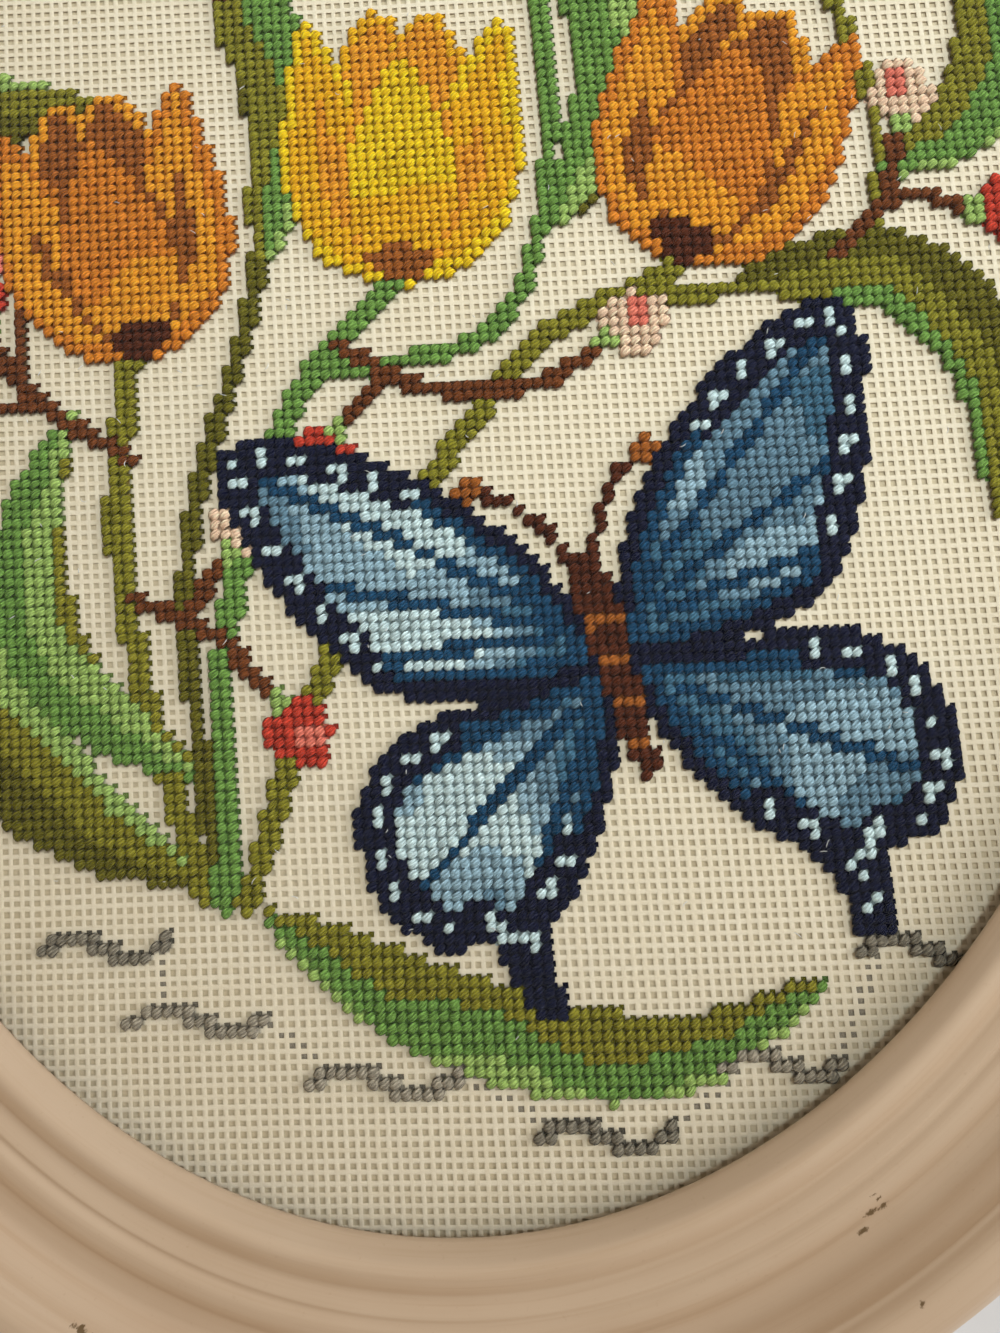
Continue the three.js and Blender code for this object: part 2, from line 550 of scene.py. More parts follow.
def bare_pine(settings):
    """Unpainted pine: long grain lines across the back, a little uneven."""
    f = Finish("bare_pine", Roughness=0.75)
    grain = f.noise(f.place(), (14, 240, 60), 4.0, 0.6)
    pores = f.noise(f.place(), (60, 1500, 300), 2.0, 0.5)
    dark = times(settings.raw_wood, 0.55, 0.46, 0.36)
    colour = f.veil(settings.raw_wood, grain, 0.35, 0.7, 0.8, dark)
    colour = f.veil(colour, pores, 0.55, 0.75, 0.4, dark)
    return f.done(Base_Color=colour, Normal=f.bump(pores, 0.0001, 0.5))


class PICTURE_OT_moulding(bpy.types.Operator):
    """Turn the oval moulding and give it its coats of paint"""

    bl_idname = "needlework.moulding"
    bl_label = "Oval Moulding"

    def execute(self, context):
        settings = context.scene.needlework_moulding
        shape, on_face = moulding_surface(settings)
        finishes = satin_paint(settings), bare_pine(settings)
        means = dict(smooth=on_face, slot="painted_wood", stands_for="oval_frame")
        piece = make_piece("oval_moulding", shape, *finishes, **means)
        piece.data.polygons.foreach_set("material_index", np.where(on_face, 0, 1).astype(np.int32))
        return {"FINISHED"}


# ---------------------------------------------------------------------------------------------
# The chart of the stitched picture: a butterfly over a sheaf of tulips
# ---------------------------------------------------------------------------------------------

HALF_COLUMNS, HALF_ROWS = 74, 100
YARN_NAMES = ["bare", *YARNS]


def spline(points, closed=False, per_span=8):
    """A smooth curve through the points: cubic pieces whose slope at each point is half the step
    between its neighbours."""
    p = np.asarray(points, float)
    if closed:
        p = np.vstack([p[-1], p, p[0], p[1]])
    else:
        p = np.vstack([2 * p[0] - p[1], p, 2 * p[-1] - p[-2]])
    t = (np.arange(per_span) / per_span)[:, None]
    a, b, c, d = p[:-3, None], p[1:-2, None], p[2:-1, None], p[3:, None]
    bend, twist = 2 * a - 5 * b + 4 * c - d, 3 * b - a - 3 * c + d
    q = (0.5 * (2 * b + (c - a) * t + bend * t**2 + twist * t**3)).reshape(-1, 2)
    return q if closed else np.vstack([q, p[-2]])


def placed(points, centre, turn=0.0, size=1.0, mirror=False):
    """Points scaled, turned clockwise by turn degrees and moved to centre, left for right first
    where mirror is set."""
    p = np.atleast_2d(np.asarray(points, float)) * size * ([-1, 1] if mirror else [1, 1])
    return np.stack(turned(*p.T, -np.radians(turn)), 1) + centre


class Chart:
    """A grid of stitches, each with the number of its yarn, or 0 for bare canvas. Motifs are
    painted over each other from masks of simple curves."""

    def __init__(self):
        self.s, self.t = np.meshgrid(
            np.arange(-HALF_COLUMNS, HALF_COLUMNS + 1.0), np.arange(-HALF_ROWS, HALF_ROWS + 1.0)
        )
        self.yarn = np.zeros(self.s.shape, np.int8)
        self.carried = np.zeros(self.s.shape, bool)

    def paint(self, mask, name):
        """Every stitch of the mask in one yarn."""
        self.yarn[mask] = YARN_NAMES.index(name)

    def bands(self, mask, value, names):
        """The mask split by a value, from 0 to 1 at most, into equal bands, one yarn each."""
        band = np.clip(np.floor(value * len(names)), 0, len(names) - 1)
        for step, name in enumerate(names):
            self.paint(mask & (band == step), name)

    def near(self, line, closed=False):
        """Distance from each stitch to a polyline, the share of its length at the nearest point,
        the side on which the stitch lies, and the whole length."""
        a = np.asarray(line, float)
        b = np.roll(a, -1, 0) if closed else a[1:]
        a = a if closed else a[:-1]
        d = b - a
        span = np.maximum(np.hypot(*d.T), 1e-9)
        start = np.concatenate([[0], np.cumsum(span)[:-1]])
        px, py = self.s[..., None] - a[:, 0], self.t[..., None] - a[:, 1]
        u = np.clip((px * d[:, 0] + py * d[:, 1]) / span**2, 0, 1)
        away = np.hypot(px - u * d[:, 0], py - u * d[:, 1])
        nearest = away.argmin(-1)[..., None]

        def pick(values):
            return np.take_along_axis(values, nearest, -1)[..., 0]

        side = np.sign(pick(px * d[:, 1] - py * d[:, 0]))
        return pick(away), pick(start + u * span) / span.sum(), side, span.sum()

    def inside(self, line):
        """The stitches inside a closed polyline: those whose ray to the right crosses it an odd
        number of times."""
        a = np.asarray(line, float)
        b = np.roll(a, -1, 0)
        crosses = (a[:, 1] > self.t[..., None]) != (b[:, 1] > self.t[..., None])
        drop = np.where(b[:, 1] == a[:, 1], 1e-9, b[:, 1] - a[:, 1])
        x = a[:, 0] + (self.t[..., None] - a[:, 1]) / drop * (b[:, 0] - a[:, 0])
        return (crosses & (self.s[..., None] < x)).sum(-1) % 2 == 1

    def outline(self, points, centre, turn, size, mirror=False):
        """A closed curve through the points, placed on the chart, and the stitches inside it."""
        line = placed(spline(points, True), centre, turn, size, mirror)
        return line, self.inside(line)

    def within(self, centre, reach):
        """The stitches no further than reach from a point."""
        return np.hypot(self.s - centre[0], self.t - centre[1]) < reach

    def unevenness(self, start=0.0):
        """A smooth field from about -1 to 1: the mean of three slanting waves."""
        s, t = self.s, self.t
        return (
            np.sin(0.23 * s + 0.11 * t + start)
            + np.sin(0.17 * t - 0.29 * s + 2 * start)
            + np.sin(0.41 * s + 0.37 * t + 3 * start)
        ) / 3

    def strand(self, points, width, name):
        """A line of stitches of even width."""
        self.paint(self.near(spline(points))[0] <= width / 2, name)

    def carry(self, points):
        """A strand carried along behind the bare canvas."""
        self.carried |= self.near(np.asarray(points, float))[0] <= 0.5

    def leaf(self, points, width, light, dark, rib):
        """A leaf along a curve. Its half width is width/2 times sin(pi times the share of the
        length)^0.8, one side of its rib is darker, and its lit edge is in a third yarn."""
        away, share, side, _ = self.near(spline(points))
        half = width / 2 * np.sin(np.pi * np.clip(share, 0, 1) ** 0.85) ** 0.8
        mask = (away <= half) & (share > 0.002) & (share < 0.998)
        across = side * away / np.maximum(half, 0.5) + 0.35 * self.unevenness(len(points))
        self.paint(mask, light)
        self.paint(mask & (across < -0.1), dark)
        self.paint(mask & (across > 0.75), rib)

    def tulip(self, centre, turn, size, petal, middle, deep, base):
        """A tulip's cup: two petals behind, two at the sides and one in front, each shaded in
        bands from its edge inwards."""
        behind = [(0, -13), (-6, -2), (-7, 9), (-3, 16), (2, 10), (2, -4)]
        beside = [(0, -14), (-8, -11), (-12, -3), (-12, 7), (-10.5, 15), (-6, 9), (-3, 1), (-1, -8)]
        front = [(0, -14), (-5.5, -8), (-6, 1), (0, 11.5), (6, 1), (5.5, -8)]
        for mirror in (False, True):
            line, mask = self.outline(behind, centre, turn, size, mirror)
            self.paint(mask, deep)
            self.paint(mask & (self.near(line, True)[0] < 1.2 * size), middle)
        for mirror in (False, True):
            line, mask = self.outline(beside, centre, turn, size, mirror)
            depth = self.near(line, True)[0] / (5.2 * size) + 0.16 * self.unevenness(turn + mirror)
            self.bands(mask, depth, [petal, middle, middle, deep])
        line, mask = self.outline(front, centre, turn, size)
        foot = placed((0, -14), centre, turn, size)[0]
        height = np.hypot(self.s - foot[0], self.t - foot[1]) / (26 * size)
        value = 0.95 - 1.25 * height + 0.16 * self.unevenness(turn)
        self.bands(mask, value, [petal, petal, middle, middle, deep])
        self.paint(mask & (self.near(line, True)[0] < 0.75), deep)
        self.paint(mask & (height < 0.17), base)

    def bud(self, centre, turn, size, outer, heart):
        """A closed bud: a drop with a lighter heart, on a small green cup."""
        drop = [(0, -3.2), (-2.6, -1.5), (-2.5, 1.2), (0, 3.6), (2.5, 1.2), (2.6, -1.5)]
        _, mask = self.outline(drop, centre, turn, size)
        self.paint(mask, outer)
        self.paint(mask & self.within(placed((-0.6, 0.8), centre, turn, size)[0], 1.3 * size), heart)
        self.paint(self.within(placed((0, -3.2), centre, turn, size)[0], 1.2), "sprig")

    def butterfly(self, centre, turn, size):
        """A butterfly from above. A wing's shade grows with the distance from its hinge and waves
        with the angle there. Its veins are rays from the hinge, its edge is dark with pale spots
        at even steps, and the wings on the right are a little darker."""
        upper = [(1, 3), (6, 14), (17, 26), (30, 33), (36.5, 31)]
        upper += [(35, 21), (31, 11), (24, 2), (12, -1), (2, -1)]
        lower = [(1, 1), (11, -1), (23, -2), (31, -8), (32, -18), (27, -25)]
        lower += [(21.5, -26), (19.5, -33), (16, -34), (15, -26), (9, -20), (3, -10)]
        wings = (
            (lower, (1, -1), 18, (-14, -34, -54)),
            (upper, (1, 3), 24, (8, 24, 40, 55)),
        )
        for mirror in (False, True):
            for wing, hinge, edge_from, veins in wings:
                line, mask = self.outline(wing, centre, turn, size, mirror)
                away, share, _, around = self.near(line, True)
                x, y = (self.s, self.t) - placed(hinge, centre, turn, size, mirror)[0][:, None, None]
                across, up = turned(x, y, np.radians(turn))
                angle = np.degrees(np.arctan2(up, -across if mirror else across))
                out = np.hypot(x, y) / size
                value = 0.18 + 0.03 * out + 0.12 * np.sin(np.radians(angle * 9))
                value += 0.16 * self.unevenness(1.0)
                value += (0.12 if mirror else -0.10) - 0.045 * np.maximum(out - 21, 0)
                wools = ["deep_blue", "mid_blue", "mid_blue", "slate_blue", "sky_blue", "aqua"]
                self.bands(mask, value, wools)
                for vein in veins:
                    off = size * out * np.abs(np.sin(np.radians(angle - vein)))
                    near_vein = (off < 0.62) & (out > 5) & (np.abs(angle - vein) < 60)
                    self.paint(mask & near_vein, "deep_blue")
                self.paint(mask & (away < 3.3 * size), "deep_blue")
                self.paint(mask & (away < 1.7 * size), "navy")
                edge = mask & (out > edge_from)
                self.paint(edge & (away < 4.2 * size), "navy")
                spaced = np.abs((share * around / (4.6 * size)) % 1 - 0.5) < 0.22
                self.paint(edge & spaced & (away > 1.5 * size) & (away < 3.1 * size), "aqua")
        side = [(1.6, 10.5), (2.4, 7), (2, 2), (1.6, -8)]
        body = [(0, -14), *[(-x, y) for x, y in side[::-1]], (0, 11.5), *side]
        _, mask = self.outline(body, centre, turn, size)
        tail = placed((0, -14), centre, turn, size)[0]
        along = np.hypot(self.s - tail[0], self.t - tail[1])
        self.paint(mask, "umber")
        self.paint(mask & (along % 4 < 1.3) & (along < 20 * size), "rust")
        for mirror in (False, True):
            feeler = placed([(0.8, 10), (3, 15), (6, 19), (10, 21.5)], centre, turn, size, mirror)
            self.strand(feeler, 1.15, "umber")
            self.paint(self.within(feeler[-1], 1.3), "rust")


# Curves of the chart, in stitches to the right of and above its centre.
STEMS = (
    (2.2, "olive", [(-28, -63), (-33, -44), (-35, -26), (-33, -10)]),
    (2.2, "leaf", [(-26, -64), (-25, -40), (-17, -16), (-6, -3)]),
    (2.2, "olive", [(-24, -64), (-14, -40), (6, -12), (22, -3)]),
    (1.7, "moss", [(-27, -60), (-28, -30), (-19, 2), (-21, 34)]),
    (1.7, "leaf", [(-14, -12), (4, -8), (11, 10), (11, 38)]),
    (1.7, "olive", [(20, -6), (40, -2), (44, 12), (40, 32)]),
)
LEAVES = (
    (11, "olive", "moss", "sprig", [(-29, -62), (-43, -53), (-52, -38), (-50, -16)]),
    (9, "leaf", "olive", "sprig", [(-23, -65), (-6, -75), (14, -79), (31, -72)]),
    (8, "sprig", "leaf", "olive", [(-28, -52), (-41, -42), (-44, -28), (-39, -14)]),
    (9, "leaf", "olive", "sprig", [(-19, 0), (-15, 18), (-19, 30), (-13, 44)]),
    (9, "sprig", "leaf", "moss", [(11, 2), (19, 18), (18, 32), (25, 46)]),
    (9, "olive", "moss", "leaf", [(28, -4), (44, -4), (52, -14), (51, -30)]),
    (9, "leaf", "olive", "sprig", [(43, 6), (55, 14), (58, 28), (51, 44)]),
    (9, "olive", "moss", "sprig", [(-34, 18), (-50, 20), (-56, 34), (-49, 52)]),
)
TWIGS = (
    [(-34, -34), (-26, -38), (-20, -45)],
    [(-29, -37), (-24, -30)],
    [(-33, -20), (-43, -13), (-48, -5)],
    [(-41, -14), (-51, -14)],
    [(-44, -11), (-44, -2)],
    [(-12, -9), (-3, -14), (8, -14), (15, -10)],
    [(-7, -12), (-12, -18)],
    [(38, -2), (46, 4), (52, 2)],
    [(44, 3), (46, 11)],
    [(40, 30), (48, 48), (43, 60)],
    [(46, 44), (52, 46)],
    [(-21, 30), (-36, 38), (-40, 52)],
    [(10, 36), (-4, 42), (-4, 54)],
)
BUDS = (
    (-18, -48, 150, "crimson", "coral"),
    (-22, -27, 30, "blush", "coral"),
    (-49, -2, -30, "crimson", "coral"),
    (-55, -14, -80, "blush", "coral"),
    (-43, 2, 10, "coral", "blush"),
    (18, -8, 60, "blush", "coral"),
    (-14, -21, 210, "crimson", "coral"),
    (56, 2, 90, "crimson", "coral"),
    (47, 15, 10, "blush", "coral"),
    (42, 63, -20, "crimson", "coral"),
    (56, 47, 75, "coral", "blush"),
    (-42, 56, -20, "blush", "coral"),
    (-3, 58, 10, "crimson", "coral"),
)
TULIPS = (
    ((-34, 4), -12, 0.98, "orange", "ochre", "rust", "umber"),
    ((-4, 11), 4, 1.0, "lemon", "gold", "ochre", "rust"),
    ((28, 11), 22, 1.0, "orange", "ochre", "rust", "umber"),
    ((-22, 47), -6, 0.95, "lemon", "gold", "ochre", "rust"),
    ((12, 52), 3, 0.98, "orange", "ochre", "rust", "umber"),
    ((38, 45), 18, 0.9, "lemon", "gold", "orange", "rust"),
)
BUTTERFLIES = (((13, -42), -12, 0.9), ((-6, 76), -24, 0.32))
# Short waves of ground: centre, width and yarn.
WAVES = (
    (-38, -68, 12, "smoke"),
    (-29, -75, 13, "pewter"),
    (-12, -81, 14, "pewter"),
    (8, -86, 12, "smoke"),
    (25, -80, 11, "pewter"),
    (39, -70, 12, "smoke"),
)
# Strands that cross from wave to wave behind the canvas.
CARRIED = (
    [(-33, -69), (-33, -74)],
    [(-23, -76), (-18, -80)],
    [(-5, -81), (2, -85)],
    [(14, -86), (20, -81)],
    [(30, -79), (34, -71)],
)


def picture_chart():
    """The whole chart: stems, leaves, twigs and buds first, then the flowers and the butterflies
    over them, and the ground below."""
    chart = Chart()
    for width, name, line in STEMS:
        chart.strand(line, width, name)
    for width, light, dark, rib, line in LEAVES:
        chart.leaf(line, width, light, dark, rib)
    for line in TWIGS:
        chart.strand(line, 1.5, "bark")
    for s, t, turn, outer, heart in BUDS:
        chart.bud((s, t), turn, 1.1, outer, heart)
    for flower in TULIPS:
        chart.tulip(*flower)
    for butterfly in BUTTERFLIES:
        chart.butterfly(*butterfly)
    for s, t, width, name in WAVES:
        wave = [(-0.5, 0), (-0.25, 1.2), (0, 0), (0.25, -1.0), (0.5, 0.4)]
        chart.strand([(s + u * width, t + v) for u, v in wave], 1.2, name)
    for line in CARRIED:
        chart.carry(line)
    return chart


# ---------------------------------------------------------------------------------------------
# Canvas and stitches
# ---------------------------------------------------------------------------------------------

# Height of the canvas threads' middles, and how far inside the cloth's edge the last ones end.
THREAD_PLANE = 3.23 * MM
CLOTH_EDGE = 0.6 * MM


def on_canvas(settings, s, t):
    """Where column s and row t cross, in metres. Columns lean and rows climb by small shares of
    the pitch, and two slow waves a quarter of a millimetre high pull the cloth out of true."""
    s, t = np.asarray(s, float), np.asarray(t, float)
    x = settings.column_pitch * s - settings.lean * settings.row_pitch * t
    y = settings.rise * settings.column_pitch * s + settings.row_pitch * t
    x = x + 0.22 * MM * np.sin(0.075 * t + 0.031 * s + 0.4) + 0.1 * MM * np.sin(0.19 * s - 0.06 * t)
    y = y + 0.24 * MM * np.sin(0.083 * s - 0.027 * t + 1.1) + 0.1 * MM * np.sin(0.17 * t + 0.05 * s)
    return x, y


def wool_colours(wools, yarn):
    """The colour of each numbered yarn, black for bare canvas."""
    return np.array([(0, 0, 0), *[tuple(getattr(wools, name)) for name in YARNS]])[yarn]


def canvas_threads(settings, covered, wool_colour):
    """Both sets of threads as closed tubes of three sides, one of them the flat top.

    A ring stands at each crossing. It lies above the middle plane where its thread passes over and
    below where it passes under, turn by turn. Inside a stitched patch, where nothing shows, a thread
    runs straight and its rings are left out. A thread's width and its place differ a little from its
    neighbours'. Under the stitches it takes their colour, as wool fuzz over it would, darkened as
    painted shade, from the field hidden, so that no cream shines through between them."""
    rng = np.random.default_rng(12)
    t, s = np.mgrid[-HALF_ROWS : HALF_ROWS + 1, -HALF_COLUMNS : HALF_COLUMNS + 1]
    crossings = np.stack(on_canvas(settings, s, t), -1)
    on_cloth = ((crossings / (PICTURE - CLOTH_EDGE)) ** 2).sum(-1) <= 1
    columns_over = (s + t) % 2 == 0
    # Painted shade: threads under the stitches take the wool's colour at 0.55 of its strength.
    under = np.concatenate([0.55 * wool_colour, covered[..., None]], -1)
    rim = np.array([(1.0, 0.40), (-1.0, 0.40), (0.0, -0.60)])
    side, after = np.array([0, 1, 2]), np.array([1, 2, 0])
    parts, total = [], 0
    for axis in (0, 1):  # the columns run along the tables' first axis, the rows along the second
        kept = on_cloth & ~(covered & np.roll(covered, 1, axis) & np.roll(covered, -1, axis))
        tables = kept, columns_over if axis == 0 else ~columns_over, crossings, under
        kept, raised, centre, colour = (np.swapaxes(a, 0, 1) if axis == 0 else a for a in tables)
        lines, along = np.nonzero(kept)
        n, count = len(lines), len(kept)
        own = rng.normal(0, 0.055 * MM, count)[lines] + rng.normal(0, 0.03 * MM, n)
        wide = 1 + rng.normal(0, 0.05, count)[lines] + rng.normal(0, 0.05, n)
        wide = (wide * settings.thread_width / 2)[:, None]
        tint = rng.random(count)[lines]
        run = np.array(on_canvas(settings, axis, 1 - axis)) - np.array(on_canvas(settings, 0, 0))
        run /= np.hypot(*run)
        across = np.array([run[1], -run[0]])
        centre = centre[lines, along] + own[:, None] * across
        flat = centre[:, None] + across * (rim[:, 0] * wide)[..., None]
        level = THREAD_PLANE + np.where(raised[lines, along], settings.weave, -settings.weave)
        height = level[:, None] + rim[:, 1] * settings.thread_depth
        ring = total + 3 * np.arange(n)
        joined = lines[1:] == lines[:-1]
        here, there = ring[:-1][joined][:, None], ring[1:][joined][:, None]
        quads = np.stack([here + side, here + after, there + after, there + side], -1)
        first, last = ring[np.r_[True, ~joined]], ring[np.r_[~joined, True]]
        ends = [np.stack([first + 2, first + 1, first], -1), np.stack([last, last + 1, last + 2], -1)]
        length_so_far = np.broadcast_to(along[:, None] * settings.row_pitch, height.shape)
        strand = np.stack([length_so_far, rim[:, 0] * wide, height], -1)
        points = at_height(flat, height).reshape(-1, 3)
        hidden = np.repeat(colour[lines, along], 3, 0)
        faces = quads.reshape(-1, 4), np.concatenate(ends)
        parts.append((points, *faces, strand.reshape(-1, 3), np.repeat(tint, 3), hidden))
        total += len(points)
    points, quads, ends, strand, tint, hidden = (np.concatenate(part) for part in zip(*parts))
    return points, [quads, ends], {"strand": strand, "tint": tint, "hidden": hidden}


def cotton_thread(settings):
    """Stiff cotton: fine fibres along the thread, slubs, and painted shade, warmer and darker, on the
    sides between the crossings, where the cosine of the length along the thread is low."""
    f = Finish(
        "cotton_thread", Roughness=0.78, Sheen_Weight=0.15, Sheen_Roughness=0.5, Specular_IOR_Level=0.3
    )
    strand, tint, half = f.field("strand"), f.field("tint", "Fac"), settings.thread_width / 2
    fibres = f.noise(strand, (900, 9000, 9000), 2.0, 0.6)
    apart = f.add("CombineXYZ", 0.0, 0.0, f.math("MULTIPLY", tint, 40.0))
    slubs = f.noise(f.sum(f.stretch(strand, (120, 300, 0)), apart), 1.0, 1.0)
    across = f.math("MULTIPLY", f.add("SeparateXYZ", strand, output=1), 1 / half)
    phase = f.math("MULTIPLY", f.add("SeparateXYZ", strand), 2 * np.pi / settings.row_pitch)
    between = f.ramp(f.math("COSINE", phase), -0.1, 0.6, 1.0, 0.0)
    off_middle = f.math("MULTIPLY", f.math("MULTIPLY", across, across), between)
    # Painted shade: the sides of the thread between the crossings are darker, with the square of the
    # distance from its middle.
    colour = f.veil(settings.cotton, off_middle, 0.35, 1.0, 0.30, settings.cotton_dark)
    colour = f.veil(colour, fibres, 0.35, 0.75, 0.22, settings.cotton_dark)
    colour = f.veil(colour, slubs, 0.45, 0.7, 0.35, times(settings.cotton, 1.06))
    colour = f.veil(colour, tint, 0.0, 1.0, 0.14, settings.cotton_dark)
    # Painted shade: under the stitches the thread takes the wool's colour, darkened.
    colour = f.mix(f.ramp(f.field("hidden", "Alpha"), 0.25, 0.8), colour, f.field("hidden", "Color"))
    # The flat top is rounded by a bump that falls with the square of the distance from the middle.
    crown = f.bump(f.math("SUBTRACT", 1.0, off_middle), 0.22 * half, 0.7)
    return f.done(Base_Color=colour, Normal=f.bump(fibres, 0.00008, 0.6, crown))


def tent_stitches(canvas, wool, s, t, rng):
    """Stitches over the crossings (s, t), each from the hole at its lower left to the hole at its
    upper right.

    A stitch is four rings of five points and a point at each end. At share u of its half length,
    from -1 to 1, its width is that of the ring's row in the table, and its height falls from the
    top to the foot with the power 2.4 of u. Its middle is so wide that it presses against the
    stitches beside it, and only the holes at the corners stay open."""
    n = len(s)
    start, end = (np.stack(on_canvas(canvas, s + step, t + step), 1) for step in (-0.5, 0.5))
    middle = (start + end) / 2 + rng.normal(0, 0.06 * MM, (n, 2))
    half = np.stack(turned(*((end - start) / 2).T, rng.normal(0, np.radians(4.5), n)), 1)
    reach = np.hypot(*half.T)
    run = half / reach[:, None]
    across = np.stack([-run[:, 1], run[:, 0]], 1)
    share = np.array([-0.72, -0.27, 0.27, 0.72])[:, None]
    swell = np.array([0.72, 1.0, 1.0, 0.72])[:, None]
    rim = np.array([(1.0, 0.20), (0.62, 0.70), (-0.62, 0.70), (-1.0, 0.20), (0.0, -0.7)])
    half_width, half_depth = wool.stitch_width / 2, wool.stitch_depth / 2
    wide = half_width * (1 + rng.normal(0, 0.08, (n, 1, 1)))
    deep = half_depth * (1 + rng.normal(0, 0.06, (n, 1, 1)))
    lift = rng.normal(0, 0.05 * MM, (n, 1, 1))
    u, side, rise = np.broadcast_to(share, (4, 5)), swell * rim[:, 0], swell**0.5 * rim[:, 1]
    flat = (
        middle[:, None, None]
        + run[:, None, None] * (u * reach[:, None, None])[..., None]
        + across[:, None, None] * (side * wide * (1 + rng.normal(0, 0.07, (n, 4, 1))))[..., None]
    )
    fall = (wool.stitch_top - wool.stitch_foot) * (1 - np.abs(u) ** 2.4)
    z = wool.stitch_foot + fall + rise * deep + lift
    rings = at_height(flat, z).reshape(n, 20, 3)
    tips = middle[:, None] + run[:, None] * (np.array([-1.04, 1.04]) * reach[:, None])[..., None]
    tips = at_height(tips, np.full((n, 2), wool.stitch_foot - 0.15 * MM))
    points = np.concatenate([rings, tips], 1).reshape(-1, 3)
    local = np.stack([u * reach.mean(), side * half_width, rise * half_depth], -1).reshape(20, 3)
    local = np.concatenate([local, [(end * reach.mean(), 0, -half_depth) for end in (-1, 1)]])
    faces = [repeated(f, 22, n) for f in tube(4, 5)]
    return points, faces, {"strand": np.tile(local, (n, 1)), "tint": np.repeat(rng.random(n), 22)}


def wool(name, colour):
    """Soft wool: plies that wind round each other, the sine of a slanting phase, with twisted fibres on
    them, painted highlights on the fibres and painted shade in the folds between plies and fibres. It
    has painted shade along its flanks and where it dives into the canvas, and each stitch is a little
    lighter or darker than the next."""
    f = Finish(
        "wool_" + name,
        Roughness=0.85,
        Specular_IOR_Level=0.15,
        Sheen_Weight=0.10,
        Sheen_Roughness=0.45,
        Sheen_Tint=[0.2 + 0.8 * c for c in colour],
    )
    strand, tint = f.field("strand"), f.field("tint", "Fac")
    apart = f.add("CombineXYZ", f.math("MULTIPLY", tint, 31.0), f.math("MULTIPLY", tint, 57.0), 0.0)
    fibres = f.noise(f.sum(f.stretch(strand, (650, 2600, 1200), (0, 0, 0.22)), apart), 1.0, 2.5, 0.6)
    along, across = (f.add("SeparateXYZ", strand, output=axis) for axis in (0, 1))
    phase = f.math("MULTIPLY_ADD", across, 8600.0, f.math("MULTIPLY", along, 1500.0))
    plies = f.math("SINE", f.math("MULTIPLY_ADD", tint, 2.5, phase))
    # Dark wools lose more of their light in the folds than pale ones.
    dark = times(colour, 0.44 + 0.32 * float(np.dot(colour, (0.3, 0.6, 0.1))))
    light = [min(1.0, c * 1.35 + 0.010) for c in colour]
    base = f.veil(colour, tint, 0.0, 1.0, 1.0, times(colour, 0.88))
    # Painted highlight on the fibres, and painted shade in the gaps between fibres and in the grooves
    # between plies.
    base = f.veil(base, fibres, 0.46, 0.64, 0.9, light)
    base = f.mix(f.ramp(fibres, 0.36, 0.50, 0.6, 0.0), base, dark)
    base = f.mix(f.ramp(plies, -1.0, 0.1, 0.55, 0.0), base, dark)
    # Painted shade at the ends, where the stitch dives into its hole, and along the flanks.
    ends = f.ramp(f.math("ABSOLUTE", along), 0.80 * MM, 1.4 * MM, 0.0, 0.55)
    flanks = f.ramp(f.math("ABSOLUTE", across), 0.30 * MM, 1.1 * MM, 0.0, 0.20)
    base = f.mix(f.math("MAXIMUM", ends, flanks), base, dark)
    return f.done(Base_Color=base, Normal=f.bump(fibres, 0.00022, 0.7, f.bump(plies, 0.00016, 0.8)))


def wool_fuzz(canvas, wool, chart, rng):
    """Fine hairs on the stitches, three to a stitch: needles of three long sides that lie nearly
    along the strand and stand a little off it, each paler than its wool."""
    rows, columns = np.nonzero(np.repeat(chart.yarn > 0, 3, 0))
    rows = rows // 3
    n = len(rows)
    colour = wool_colours(wool, chart.yarn[rows, columns])
    s = chart.s[rows, columns] + rng.uniform(-0.30, 0.30, n)
    t = chart.t[rows, columns] + rng.uniform(-0.30, 0.30, n)
    centre = np.stack(on_canvas(canvas, s, t), 1)
    angle = np.radians(rng.normal(45, 32, n))
    half = rng.uniform(0.35, 0.9, n)[:, None] * MM
    run = np.stack([np.cos(angle), np.sin(angle)], 1)
    across = np.stack([-run[:, 1], run[:, 0]], 1)
    thin = rng.uniform(0.02, 0.055, n)[:, None] * MM
    z = wool.stitch_top + 0.34 * wool.stitch_depth + rng.uniform(-0.05, 0.10, n) * MM
    low = z - rng.uniform(0.05, 0.5, n) * MM
    flat = [centre - run * half, centre + run * half, centre + across * thin, centre - across * thin]
    points = at_height(np.stack(flat, 1), np.stack([low, z, z, z], 1))
    faces = repeated(np.array([(0, 3, 2), (1, 2, 3), (0, 2, 1), (0, 1, 3)]), 4, n)
    pale = np.minimum(1.0, colour * rng.uniform(0.9, 1.5, n)[:, None] + 0.02)
    return points.reshape(-1, 3), [faces], {"yarn": np.repeat(np.c_[pale, np.ones(n)], 4, 0)}


